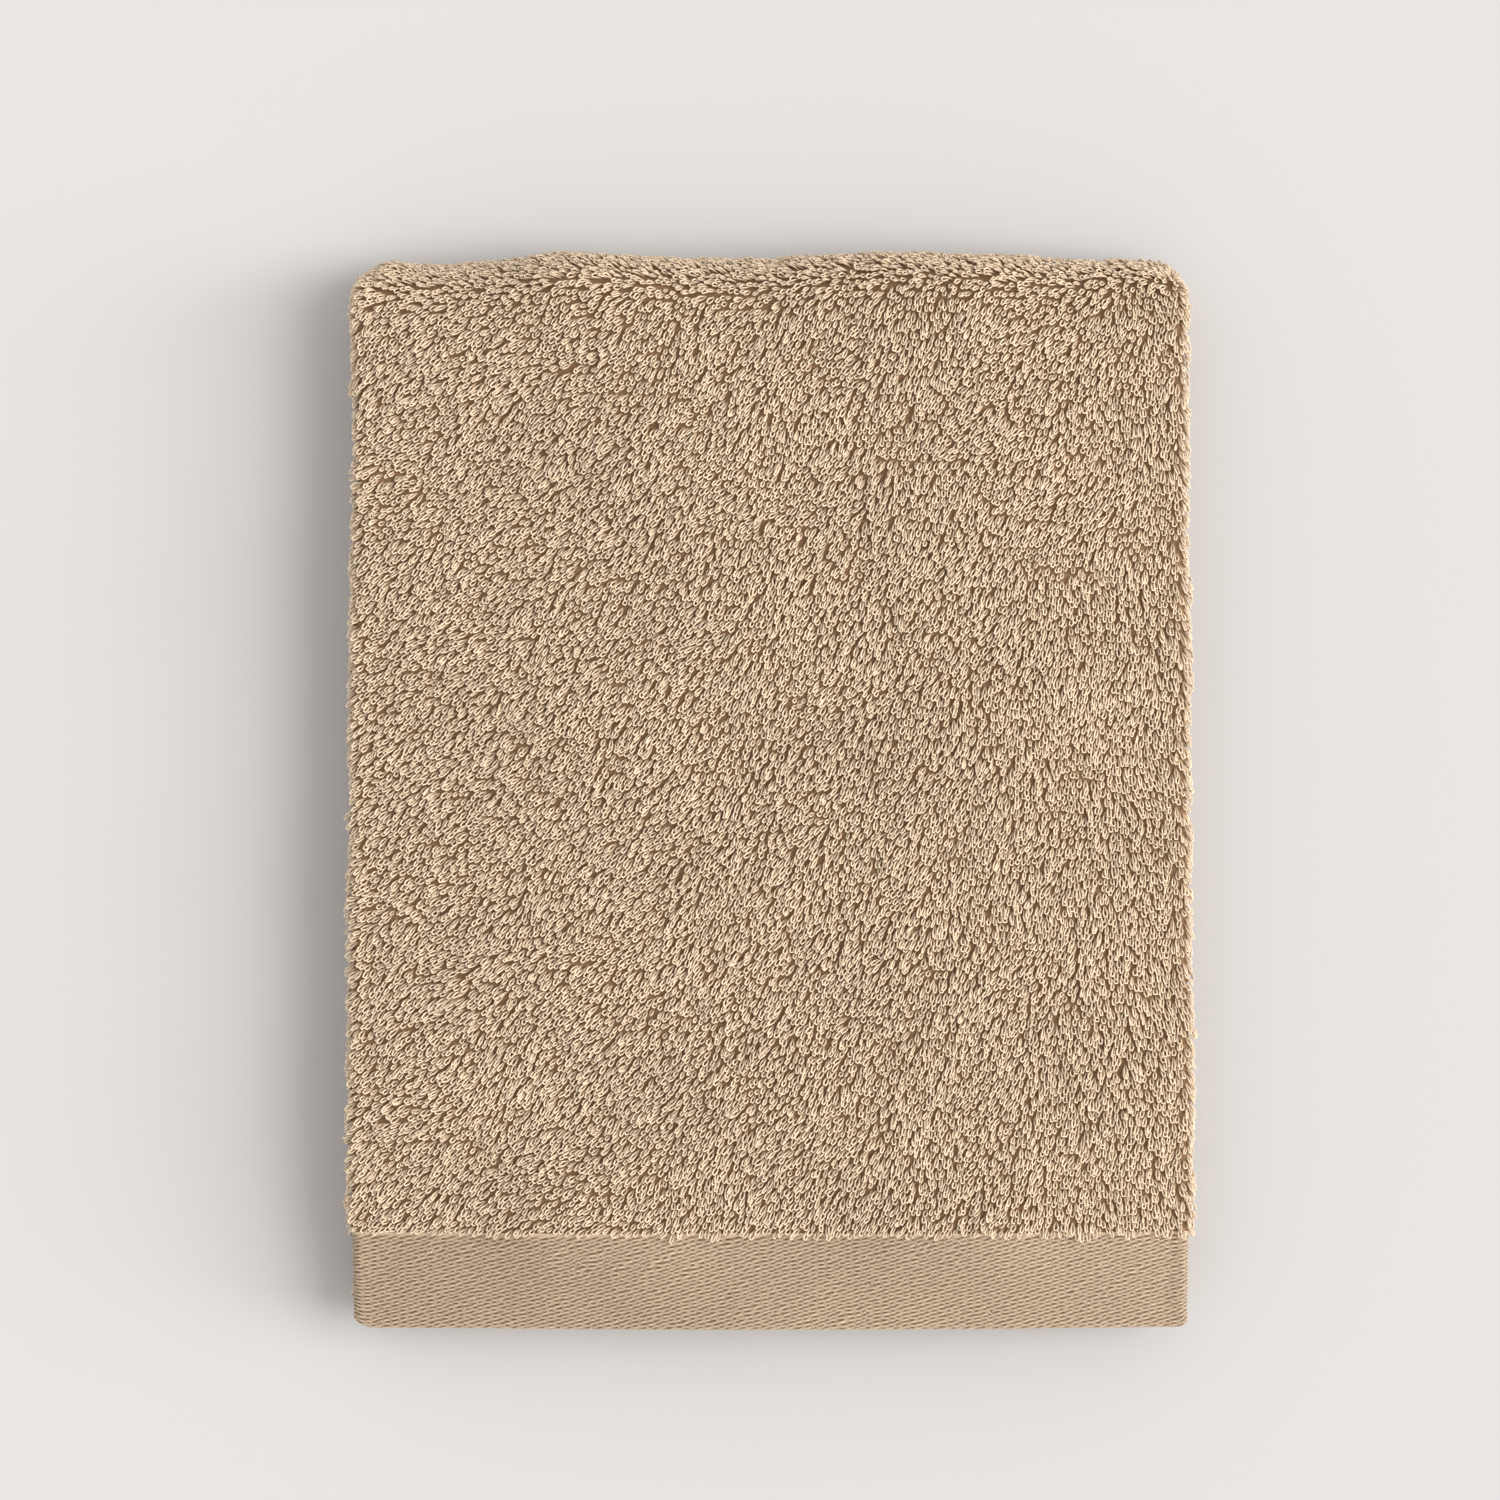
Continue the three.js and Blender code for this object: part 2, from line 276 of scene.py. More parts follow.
def place(u, s):
    """The point of the folded towel that is u across and s along the cloth, in the middle of its
    thickness. The borders come down from the terry to the hem, the towel widens a little towards the
    hem, the lower leaves lie just inside the top one, the flaps' hems stop just short of the face's, all
    four corners draw in, and soft ripples keep every edge from being straight."""
    u, s = np.broadcast_arrays(np.asarray(u, float), np.asarray(s, float))
    x, share = across(u)
    into = np.clip((np.abs(x) - (HALF_WIDTH - CORNER)) / CORNER, 0, 1)
    kept = 1 - CORNER_DEPTH * (1 - np.sqrt(1 - into ** 2))
    leg, y, leaves = along(s, share, kept)
    down = smooth((BORDER_Y - y) / BORDER_DEPTH)
    at_hem = 2 * leaf_height(x) + (leaves - 2) * border_height(x)
    bordered = (leg == OUT) | (leg == HOME)
    z = leaves * leaf_height(x)
    z = np.where(bordered, mix(z, at_hem, down), z)
    wide = 1 - FAR_NARROWER + FAR_NARROWER * smooth((FOLD_Y - y) / NARROWING)
    under = LEAVES_INSIDE * ((leg != OUT) & (leg != OUTER_FOLD))
    at_corner = np.clip((y - FOLD_Y) / OUTER_BULGE, 0, 1) ** 2
    corner_in = np.where(x < 0, LEFT_CORNER_IN, RIGHT_CORNER_IN) * at_corner
    edge_wave = EDGE_WAVE * ripple(np.stack([y, 0 * y + np.sign(x)], -1), EDGE_WAVE_LENGTH, 3)
    round_at = np.where(x < 0, LEFT_HEM_CORNER, RIGHT_HEM_CORNER)
    out_by = np.clip((np.abs(x) - HALF_WIDTH + round_at) / round_at, 0, 1)
    y = y + FLAPS_SET_BACK * share * smooth((BORDER_Y - y) / BORDER_DEPTH) * bordered
    rounded = round_at * (1 - np.sqrt(1 - out_by ** 2)) * HEM_CORNER_DEPTH
    y = y + rounded * smooth((BORDER_Y - y) / BORDER_DEPTH)
    end_wave = END_WAVE * ripple(np.stack([x, 0 * x], -1), END_WAVE_LENGTH, 4)
    end_wave = end_wave * smooth((y - END_WAVE_FROM) / END_WAVE_OVER)
    x = x * (wide - under - corner_in + edge_wave * (1 - smooth((BORDER_Y - y) / (10 * MM))))
    z = z * (1 + TOP_WAVE * ripple(np.stack([x, y], -1), TOP_WAVE_LENGTH, 5))
    return np.stack([x, y + end_wave, z], -1)


def place_and_face(u, s):
    """place(u, s) with the unit normal there, which points out of the strip's front: the cross product of
    the steps across and along, each taken over 0.3 mm to both sides."""
    u, s = np.broadcast_arrays(np.asarray(u, float), np.asarray(s, float))
    step = 0.15 * MM
    across_step = place(u + step, s) - place(u - step, s)
    along_step = place(u, s + step) - place(u, s - step)
    return place(u, s), unit(np.cross(across_step, along_step))


# ---------------------------------------------------------------- meshes

def grid_faces(rows, columns, closed=False):
    """Quads over a grid of points counted row by row. A closed grid also joins its last column to its
    first."""
    i = np.arange(rows - 1)[:, None]
    j = np.arange(columns if closed else columns - 1)[None]
    after = (j + 1) % columns
    corners = [i * columns + j, i * columns + after, (i + 1) * columns + after, (i + 1) * columns + j]
    return np.stack(corners, -1).reshape(-1, 4)


def volume(points, faces):
    """What closed faces hold: the sum of first dot (second cross third) over six, over fans of triangles."""
    total = 0
    for corners in faces:
        for k in range(1, corners.shape[1] - 1):
            second, third = points[corners[:, k]], points[corners[:, k + 1]]
            total += (points[corners[:, 0]] * np.cross(second, third)).sum()
    return total / 6


def new_piece(name, points, faces, material, values=None):
    """A smooth closed mesh that rides with the towel, with its faces turned outwards. faces is a list of
    arrays of corners, one array for each number of corners, and values are named numbers, one for each
    point."""
    points = points.reshape(-1, 3)
    if volume(points, faces) < 0:
        faces = [corners[:, ::-1] for corners in faces]
    corners = np.concatenate([part.ravel() for part in faces]).astype(np.int32)
    sizes = np.concatenate([np.full(len(part), part.shape[1]) for part in faces])
    mesh = bpy.data.meshes.new(name)
    mesh.vertices.add(len(points))
    mesh.vertices.foreach_set("co", points.astype(np.float32).ravel())
    mesh.loops.add(len(corners))
    mesh.loops.foreach_set("vertex_index", corners)
    mesh.polygons.add(len(sizes))
    mesh.polygons.foreach_set("loop_start", (np.cumsum(sizes) - sizes).astype(np.int32))
    mesh.update(calc_edges=True)
    mesh.polygons.foreach_set("use_smooth", np.ones(len(sizes), bool))
    for key, numbers in (values or {}).items():
        made = mesh.attributes.new(key, "FLOAT", "POINT")
        made.data.foreach_set("value", np.asarray(numbers, np.float32).ravel())
    mesh.materials.append(material)
    piece = bpy.data.objects.new(name, mesh)
    bpy.context.scene.collection.objects.link(piece)
    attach(piece, BODY)
    return piece


def band(name, u, s, lift, material, values=None):
    """A closed band of cloth carried along one edge of the towel. u, s and lift are grids of one size: a
    row is a closed outline round the band's thickness, and lift is how far each point stands off the
    cloth's middle. The first and last outlines are filled in."""
    middle, normal = place_and_face(u, s)
    rows, columns = u.shape
    first = np.arange(columns)[None]
    faces = [grid_faces(rows, columns, closed=True), first[:, ::-1], first + (rows - 1) * columns]
    return new_piece(name, middle + normal * lift[..., None], faces, material, values=values)


def strands(name, centres, radius, material, up, sides=3, values=None):
    """Closed yarns. centres holds one line of points for each yarn, and up is a direction off its run.
    Each point carries a ring of that many sides round the line, and the two end rings are filled in."""
    count, rings = centres.shape[:2]
    run = unit(np.gradient(centres, axis=1))
    out = unit(np.cross(run, up[:, None]))
    over = np.cross(out, run)
    turn = np.arange(sides) * 2 * math.pi / sides
    ring = out[:, :, None] * np.cos(turn)[:, None] + over[:, :, None] * np.sin(turn)[:, None]
    points = centres[:, :, None] + ring * radius
    first = (np.arange(count) * rings * sides)[:, None, None]
    ends = first[:, 0] + np.arange(sides)
    faces = [(first + grid_faces(rings, sides, closed=True)).reshape(-1, 4), ends[:, ::-1],
             ends + (rings - 1) * sides]
    return new_piece(name, points, faces, material, values=values)


def even_steps(parameter, points, spacing):
    """Values of the parameter that lie evenly along the line of points, about that spacing apart."""
    run = np.concatenate([[0], np.cumsum(np.linalg.norm(np.diff(points, axis=0), axis=1))])
    count = max(int(round(run[-1] / spacing)), 1)
    return np.interp((np.arange(count) + 0.5) / count * run[-1], run, parameter)


# ---------------------------------------------------------------- materials

# How unevenly the cotton is dyed: how wide its patches are, and how much they and its fibres change its
# brightness.
PATCH_WIDTH = 30 * MM
PATCH_SHARE, FIBRE_SHARE = 0.16, 0.14


def linear(hex_colour):
    """An sRGB hex colour as the linear red, green, blue and alpha that Blender's sockets take."""
    parts = [int(hex_colour[i:i + 2], 16) / 255 for i in (1, 3, 5)]
    return [c / 12.92 if c <= 0.04045 else ((c + 0.055) / 1.055) ** 2.4 for c in parts] + [1.0]


def add(tree, kind, inputs=None, **settings):
    """Adds a node. Each of inputs is a socket's name or number, with a value or another node's output."""
    node = tree.nodes.new(kind)
    for key, value in settings.items():
        setattr(node, key, value)
    for key, value in (inputs or {}).items():
        if isinstance(value, bpy.types.NodeSocket):
            tree.links.new(value, node.inputs[key])
        else:
            node.inputs[key].default_value = value
    return node


def cotton(name, colour, shade, depth, tint_share, sheen, roughness, grain, gloss=0.25):
    """Dyed cotton: a matt fibre with a soft sheen at its edges. The colour goes from shade, deep between
    the yarns, to colour on top of them, by the piece's own 'depth' value: that darkening is painted shade
    in the hollows, not dye. Each yarn is a little lighter or darker than the next by its 'tint'. grain is
    the size in metres of the fibres that roughen it, and gloss how much of the light they throw straight
    back."""
    material = bpy.data.materials.new(name)
    material.use_nodes = True
    tree = material.node_tree
    tree.nodes.clear()
    places = add(tree, "ShaderNodeTexCoord").outputs["Object"]
    deep = add(tree, "ShaderNodeAttribute", attribute_name="depth").outputs["Fac"]
    tint = add(tree, "ShaderNodeAttribute", attribute_name="tint").outputs["Fac"]
    patches = add(tree, "ShaderNodeTexNoise", {"Vector": places, "Scale": 1 / PATCH_WIDTH,
                                                       "Detail": 2.0})
    fibres = add(tree, "ShaderNodeTexNoise", {"Vector": places, "Scale": 1 / grain, "Detail": 3.0})
    # Painted shade: where the 'depth' value is low, in the hollows, the colour is mixed towards shade.
    height = add(tree, "ShaderNodeMapRange", {"Value": deep, "To Min": 1 - depth, "To Max": 1.0})
    body = add(tree, "ShaderNodeMix", {0: height.outputs[0], 6: shade, 7: colour}, data_type="RGBA")
    varied = add(tree, "ShaderNodeMath", {0: tint, 1: tint_share}, operation="MULTIPLY")
    mottled = add(tree, "ShaderNodeMath", {0: patches.outputs[0], 1: PATCH_SHARE, 2: varied.outputs[0]},
                  operation="MULTIPLY_ADD")
    fuzzed = add(tree, "ShaderNodeMath", {0: fibres.outputs[0], 1: FIBRE_SHARE, 2: mottled.outputs[0]},
                 operation="MULTIPLY_ADD")
    centre = 1 - (PATCH_SHARE + FIBRE_SHARE + tint_share) / 2
    level = add(tree, "ShaderNodeMath", {0: fuzzed.outputs[0], 1: centre}, operation="ADD")
    dyed = add(tree, "ShaderNodeHueSaturation", {"Value": level.outputs[0], "Color": body.outputs[2]})
    rough = add(tree, "ShaderNodeMapRange", {"Value": fibres.outputs[0], "To Min": roughness - 0.08,
                                             "To Max": roughness + 0.05})
    bump = add(tree, "ShaderNodeBump", {"Height": fibres.outputs[0], "Distance": grain / 2,
                                        "Strength": 0.5})
    shader = add(tree, "ShaderNodeBsdfPrincipled", {
        "Base Color": dyed.outputs[0],
        "Roughness": rough.outputs[0],
        "Normal": bump.outputs[0],
        "Specular IOR Level": gloss,
        "Sheen Weight": sheen,
        "Sheen Roughness": 0.5,
        "Sheen Tint": colour,
    })
    add(tree, "ShaderNodeOutputMaterial", {"Surface": shader.outputs[0]})
    return material


def pile_yarn(colours):
    """Low-twist combed cotton, reactive dyed: soft round loops with a faint silkiness on their backs,
    and painted shade that darkens them towards their roots.
    """
    return cotton("pile yarn, low-twist cotton", colours.pile, colours.pile_painted_shade, depth=0.75,
                  tint_share=0.16, sheen=0.06, roughness=0.88, grain=0.00035)


def ground_weave(colours):
    """The plain-woven cotton ground that the loops stand on, which is seen only between them: its dark
    brown is painted shade for the deep gaps between the loops.
    """
    return cotton("ground weave, plain cotton", colours.ground, colours.ground, depth=0.5,
                  tint_share=0.1, sheen=0.0, roughness=0.92, grain=0.0008)


def border_twill(colours):
    """Flat cotton twill, beaten up close and ironed by its folding: smoother than the pile, with painted
    shade in the gaps between its floats.
    """
    return cotton("border twill, mercerised cotton", colours.border, colours.border_painted_shade, depth=1.0,
                  tint_share=0.12, sheen=0.1, roughness=0.58, grain=0.0004, gloss=0.45)


def hem_tape(colours):
    """The towel's own selvedge turned over twice: plain weave, painted a little darker as shade for lying in
    the stack, and darker still as painted shade at its rolled edges.
    """
    return cotton("side hem, plain weave cotton", colours.hem, colours.border_painted_shade, depth=0.8,
                  tint_share=0.1, sheen=0.1, roughness=0.85, grain=0.0005)


def sewing_thread(colours):
    """Spun polyester thread, with the slight shine that sets stitches off from cotton."""
    return cotton("sewing thread, spun polyester", colours.thread, colours.border_painted_shade, depth=0.5,
                  tint_share=0.1, sheen=0.2, roughness=0.6, grain=0.0003)


def floor_paint(colours):
    """Matt emulsion on a level board: an even off-white with the faintest roller mark."""
    material = bpy.data.materials.new("floor, matt emulsion")
    material.use_nodes = True
    tree = material.node_tree
    tree.nodes.clear()
    places = add(tree, "ShaderNodeTexCoord").outputs["Object"]
    roller = add(tree, "ShaderNodeTexNoise", {"Vector": places, "Scale": 1 / 0.004, "Detail": 2.0})
    bump = add(tree, "ShaderNodeBump", {"Height": roller.outputs[0], "Distance": 0.0001, "Strength": 0.1})
    shader = add(tree, "ShaderNodeBsdfPrincipled", {
        "Base Color": colours.floor,
        "Roughness": 0.95,
        "Specular IOR Level": 0.1,
        "Normal": bump.outputs[0],
    })
    add(tree, "ShaderNodeOutputMaterial", {"Surface": shader.outputs[0]})
    return material


# ---------------------------------------------------------------- what a user would change

def length(name, description, default):
    return FloatProperty(name=name, description=description, default=default, min=0, unit="LENGTH",
                         subtype="DISTANCE", precision=5)


def colour(name, description, default):
    return FloatVectorProperty(name=name, description=description, default=linear(default), size=4, min=0,
                               max=1, subtype="COLOR")


class TowelSizes(bpy.types.PropertyGroup):
    """The measures of the cloth, its loops, its weave and its sewing."""
    ground: length("Ground", "Thickness of the woven ground that carries the loops", 1.2 * MM)
    loop_across: length("Loop columns", "Distance between loops across the cloth", 1.9 * MM)
    loop_along: length("Loop rows", "Distance between loops along the cloth", 2.2 * MM)
    loop_height: length("Loop height", "How far a loop stands off the middle of the cloth", 2.6 * MM)
    loop_reach: length("Loop reach", "How far a brushed loop lies over from its root", 3.5 * MM)
    loop_width: length("Loop width", "Width of a loop between the middles of its two legs", 1.45 * MM)
    yarn: length("Pile yarn", "Radius of the pile yarn", 0.36 * MM)
    pick: length("Pick", "Distance between the rows of the border's twill", 1.3 * MM)
    float_repeat: length("Float repeat", "Distance between floats along a row of the twill", 4.7 * MM)
    relief: length("Relief", "How deep the gaps between the floats are", 0.5 * MM)
    stitch: length("Stitch", "Length of one stitch of the hems", 3.2 * MM)
    thread: length("Thread", "Radius of the sewing thread", 0.2 * MM)
    seed: IntProperty(name="Seed", description="Start of the loops' random draws", default=7)


class TowelColours(bpy.types.PropertyGroup):
    """The dyes of the towel's yarns, the painted shade in its hollows, and the studio's floor."""
    pile: colour("Pile", "Tops of the loops", "#EBD6BB")
    # Painted shade: the loops are mixed towards this colour at their roots.
    pile_painted_shade: colour("Pile shade", "Roots of the loops", "#A18262")
    # Painted shade: the ground's dark brown stands for the shadow deep between the loops.
    ground: colour("Ground", "Woven ground under the loops", "#86694D")
    border: colour("Border", "Floats of the border's twill", "#CFB79B")
    # Painted shade: the twill's gaps and the long hems' rolled edges are mixed towards this colour; the
    # thread is also mixed half way towards it.
    border_painted_shade: colour("Border shade", "Gaps between the floats", "#533C26")
    hem: colour("Side hem", "Long hems inside the folds", "#D0B493")
    thread: colour("Thread", "Sewing thread", "#DCC3A4")
    floor: colour("Floor", "Painted board under the towel", "#C8C6C5")


class TowelStudio(bpy.types.PropertyGroup):
    """The camera over the towel and the light on it."""
    view_height: length("Camera height", "Height of the camera over the top of the towel", 2.2)
    view_width: length("View width", "Width of what the camera sees at the top of the towel", 0.495)
    view_x: FloatProperty(name="Camera X", description="Where the camera stands, to the right",
                          default=-6.9 * MM, unit="LENGTH")
    view_y: FloatProperty(name="Camera Y", description="Where the camera stands, to the far end",
                          default=14.3 * MM, unit="LENGTH")
    key: FloatProperty(name="Key", description="Strength of the high soft light on the right", default=1.68,
                       min=0)
    side: FloatProperty(name="Side", description="Strength of the low soft light on the right", default=1.6,
                        min=0)
    fill: FloatProperty(name="Fill", description="Strength of the light from all round", default=0.84,
                        min=0)


# ---------------------------------------------------------------- the pieces

def cloth_stations(across_step, along_step, edge_u, first_s, last_s):
    """Where the cloth is cut into cells: wide steps over its level parts, and short ones in its folds."""
    turn = np.linspace(SIDE_X, FACE_REACH, 9)
    level = np.linspace(0, SIDE_X, int(SIDE_X / across_step) + 1)[:-1]
    flap = np.linspace(FACE_REACH, edge_u, int((edge_u - FACE_REACH) / across_step) + 1)[1:]
    half = np.concatenate([level, turn, flap])
    legs = []
    for leg, measure in enumerate(LEG_LENGTHS):
        steps = int(measure / along_step) if leg % 2 == 0 else 16
        legs.append(np.linspace(LEG_STARTS[leg], LEG_ENDS[leg], steps + 1)[:-1])
    s = np.concatenate(legs)
    s = np.concatenate([[first_s], s[(s > first_s + MM) & (s < last_s - MM)], [last_s]])
    return np.concatenate([-half[:0:-1], half]), s


class MakeCloth(bpy.types.Operator):
    """Makes the ground cloth, one sheet folded from hem to hem"""
    bl_idname = "towel.make_cloth"
    bl_label = "Ground cloth"

    def execute(self, context):
        sizes, colours = context.scene.towel_sizes, context.scene.towel_colours
        edge_u = CLOTH_WIDTH / 2 - SIDE_HEM
        u, s = cloth_stations(7 * MM, 8 * MM, edge_u, BORDER_DEPTH, CLOTH_LENGTH - BORDER_DEPTH)
        half = sizes.ground / 2
        outline = np.concatenate([u, u[::-1]])
        lift = np.concatenate([np.full(len(u), half), np.full(len(u), -half)])
        u_grid, s_grid = np.meshgrid(outline, s)
        cloth = band("towel_cloth", u_grid, s_grid, np.broadcast_to(lift, u_grid.shape),
                     ground_weave(colours))
        leaves = [f"{leaf}_leaf_{ply}" for leaf in ("top", "second", "third", "bottom")
                  for ply in ("face", "left_flap", "right_flap", "left_fold", "right_fold")]
        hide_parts(*leaves, "outer_end_fold", "inner_end_fold", "lower_end_fold")
        return {"FINISHED"}


def brushed(points):
    """The way the loops are brushed at each place. Seen from above they lie down and to the left, at an
    angle that steepens from the left side to the right, less so towards the far right, nearly level over
    the left half of the far fold, and with soft turns a few centimetres apart."""
    x, y = points[:, 0], points[:, 1]
    angle = np.interp(x, BRUSHED_AT, BRUSHED_ANGLE)
    far_right = smooth((x - 50 * MM) / (30 * MM)) * smooth((132 * MM - x) / (20 * MM))
    angle = angle - FLATTER_FAR_RIGHT * far_right * smooth((y - 40 * MM) / (80 * MM))
    end = np.interp(x, FOLD_BRUSHED_AT, FOLD_BRUSHED_ANGLE)
    angle = mix(angle, end, smooth((y - FOLD_BRUSHED_FROM) / FOLD_BRUSHED_OVER))
    flat = points[:, :2]
    angle = np.radians(angle + 5 * ripple(flat, 45 * MM, 11) + 4 * ripple(flat, 14 * MM, 12))
    way = np.stack([-np.cos(angle), -np.sin(angle), -0.3 + 0 * angle], -1)
    pull = np.stack([ripple(points, 8 * MM, seed) for seed in (13, 14, 15)], -1)
    return way + TUFT_PULL * pull


def lay_pile(name, leg, sizes, material, spread=1.0, rings=8, squash=1.0, inside=0.0, outside=1.0):
    """Loops over one leg of the cloth, in rows along it and columns across it, alternate rows set half a
    column over. A loop goes out from its root and back by one minus the cosine of a full turn. Its width
    is the sine of that turn, narrowed to nothing at the root, so it is a teardrop, and it rises fast and
    then levels off. The loops that meet the table are pressed flat on it. Loops nearer the middle than
    inside, or further out than outside, are left out."""
    rng = np.random.default_rng([sizes.seed, leg])
    reach = FACE_REACH + 2.5 * MM
    u = np.linspace(-reach, reach, 800)
    s = np.linspace(max(LEG_STARTS[leg], BORDER_DEPTH + 2.2 * MM),
                    min(LEG_ENDS[leg], CLOTH_LENGTH - BORDER_DEPTH - 2 * MM), 800)
    columns, columns_face = place_and_face(u, s.mean())
    rows, rows_face = place_and_face(0.0, s)
    column = even_steps(u, columns + columns_face * MM, sizes.loop_across * spread)
    row = even_steps(s, rows + rows_face * MM, sizes.loop_along * spread)
    u_grid, s_grid = np.meshgrid(column, row)
    half_column = (column[1] - column[0]) / 4
    u_grid = u_grid + half_column * np.where(np.arange(len(row)) % 2, 1, -1)[:, None]
    shape = u_grid.shape
    u_all = u_grid + rng.uniform(-STRAY, STRAY, shape) * sizes.loop_across * spread
    s_all = s_grid + rng.uniform(-STRAY, STRAY, shape) * sizes.loop_along * spread
    shown = (np.abs(u_all) >= inside) & (np.abs(u_all) < outside)
    u_all, s_all = u_all[shown], np.clip(s_all[shown], s[0], s[-1])
    root, face = place_and_face(u_all, s_all)
    count = len(root)

    way = brushed(root) + rng.normal(0, WAY_SPREAD, (count, 3))
    way = unit(way - face * (way * face).sum(-1, keepdims=True))
    beside = np.cross(face, way)
    roll = rng.normal(0, ROLL_SPREAD, (count, 1))
    beside = beside * np.cos(roll) + face * np.sin(roll)
    tuft = 1 + 0.10 * ripple(root, 10 * MM, 21) + 0.07 * ripple(root, 28 * MM, 22)
    tall = sizes.loop_height * squash * np.clip(tuft * rng.normal(1, TALL_SPREAD, count), 0.6, 1.25)
    far = sizes.loop_reach * np.clip(tuft * rng.normal(1, REACH_SPREAD, count), 0.6, 1.5)
    wide = sizes.loop_width * rng.uniform(0.75, 1.2, count)

    turn = np.linspace(0, 1, rings)
    out = (1 - np.cos(2 * math.pi * turn)) / 2
    aside = np.sin(2 * math.pi * turn) * np.sin(math.pi * turn) ** 1.5 / 2 * 1.35
    rise = 1 - (1 - out) ** 2 - 0.12 * out ** 3
    centres = (root[:, None]
               + way[:, None] * (far[:, None] * out)[..., None]
               + beside[:, None] * (wide[:, None] * aside)[..., None]
               + face[:, None] * (tall[:, None] * rise)[..., None])
    centres[..., 2] = np.maximum(centres[..., 2], sizes.yarn)
    tint = np.broadcast_to(rng.uniform(0, 1, (count, 1, 1)), (count, rings, 3))
    # Painted shade: 'depth' is 0 where a loop leaves and meets its root and 1 over its outer part, so the
    # pile material darkens its roots.
    depth = np.broadcast_to(np.clip(out * 1.3, 0, 1)[None, :, None], (count, rings, 3))

    pieces = []
    most = MOST_TRIANGLES // (6 * (rings - 1) + 2)
    blocks = -(-count // most)
    for block, part in enumerate(np.array_split(np.arange(count), blocks)):
        label = name if blocks == 1 else f"{name}_{block + 1}"
        piece = strands(label, centres[part], sizes.yarn, material, face[part],
                        values={"tint": tint[part], "depth": depth[part]})
        pieces.append(piece)
    return pieces


class MakePile(bpy.types.Operator):
    """Makes the terry loops wherever the folded towel shows them"""
    bl_idname = "towel.make_pile"
    bl_label = "Pile loops"

    def execute(self, context):
        sizes = context.scene.towel_sizes
        yarn = pile_yarn(context.scene.towel_colours)
        beside = SIDE_X - 2 * MM
        lay_pile("pile_front", OUT, sizes, yarn)
        lay_pile("pile_outer_end", OUTER_FOLD, sizes, yarn)
        lay_pile("pile_underside", UNDER, sizes, yarn, spread=2.0, rings=6, squash=0.42, outside=beside)
        lay_pile("pile_bottom_leaf_sides", UNDER, sizes, yarn, spread=1.15, squash=0.9, inside=beside)
        lay_pile("pile_lower_end", LOWER_FOLD, sizes, yarn, spread=1.15)
        lay_pile("pile_third_leaf_sides", BACK, sizes, yarn, spread=1.15, inside=beside)
        lay_pile("pile_inner_end_sides", INNER_FOLD, sizes, yarn, spread=1.15, inside=beside)
        lay_pile("pile_second_leaf_sides", HOME, sizes, yarn, spread=1.15, inside=beside)
        return {"FINISHED"}


def twill(u, s, sizes):
    """How high the border's weave stands, from 0 in its gaps to 1 on its floats: the sum of the cosine
    waves in WEAVE_WAVES, whose phase is its pairs of rows up less its repeats across. They meet on the
    floats and part between them. The repeats wander a little, and no two floats are quite alike. Its rows
    are drawn a third further apart than the cloth's own, as coarse as they have to be to show when the
    whole towel is seen."""
    places = np.stack([u, s], -1)
    over = u / sizes.float_repeat + 0.07 * ripple(places, 10 * MM, 31)
    up = s / (2 * sizes.pick) + 0.035 * ripple(places, 9 * MM, 33)
    waves = sum(share * np.cos(2 * math.pi * (rows * up - repeats * over))
                for repeats, rows, share in WEAVE_WAVES)
    waves = waves / sum(share for _, _, share in WEAVE_WAVES) * (1 + 0.4 * ripple(places, 2.2 * MM, 35))
    return np.clip(0.5 + 1.3 * waves, 0, 1)


def make_border(name, from_hem, sizes, material, across_step, along_step):
    """One woven border, from side hem to side hem of the cloth, closed round its thickness: its front with
    the twill standing on it, a half round at the hem, its back, and its end under the loops."""
    u, _ = cloth_stations(4 * MM, 6 * MM, CLOTH_WIDTH / 2, 0, CLOTH_LENGTH)
    fine = np.linspace(-FACE_REACH, FACE_REACH, int(2 * FACE_REACH / across_step))
    u = np.concatenate([u[u < -FACE_REACH - MM], fine, u[u > FACE_REACH + MM]])
    half = BORDER_THICKNESS / 2
    terry_end = BORDER_DEPTH + UNDER_LOOPS
    front = np.linspace(terry_end, half, int(terry_end / along_step))
    turn = np.linspace(0, math.pi, 8)[1:-1]
    back = np.linspace(half, terry_end, 20)
    reach = np.concatenate([front, half - half * np.sin(turn), back])
    lift = np.concatenate([0 * front + half, half * np.cos(turn), 0 * back - half])
    u_grid, reach_grid = np.meshgrid(u, reach, indexing="ij")
    s_grid = reach_grid if from_hem else CLOTH_LENGTH - reach_grid
    woven = twill(u_grid, reach_grid, sizes)
    shown = smooth(lift / half) * smooth((terry_end - reach_grid) / (2 * MM))
    tint = 0.5 + 0.25 * ripple(np.stack([u_grid, reach_grid], -1), 3 * MM, 32)
    # Painted shade: the twill's gaps get a low 'depth', so the border's colour darkens there on top of their
    # real relief.
    piece = band(name, u_grid, s_grid, lift - (1 - woven) * sizes.relief * shown, material,
                 values={"depth": mix(1, woven, shown), "tint": tint})
    return piece


class MakeBorders(bpy.types.Operator):
    """Makes the woven border at each end of the cloth"""
    bl_idname = "towel.make_borders"
    bl_label = "Woven borders"

    def execute(self, context):
        sizes = context.scene.towel_sizes
        twill_cotton = border_twill(context.scene.towel_colours)
        plies = ("face", "left_flap", "right_flap", "left_fold", "right_fold")
        near = make_border("near_border", True, sizes, twill_cotton, 0.6 * MM, 0.26 * MM)
        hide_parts(*[f"top_border_{ply}" for ply in plies])
        under = make_border("under_border", False, sizes, twill_cotton, 1.2 * MM, 0.48 * MM)
        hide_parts(*[f"second_border_{ply}" for ply in plies])
        return {"FINISHED"}


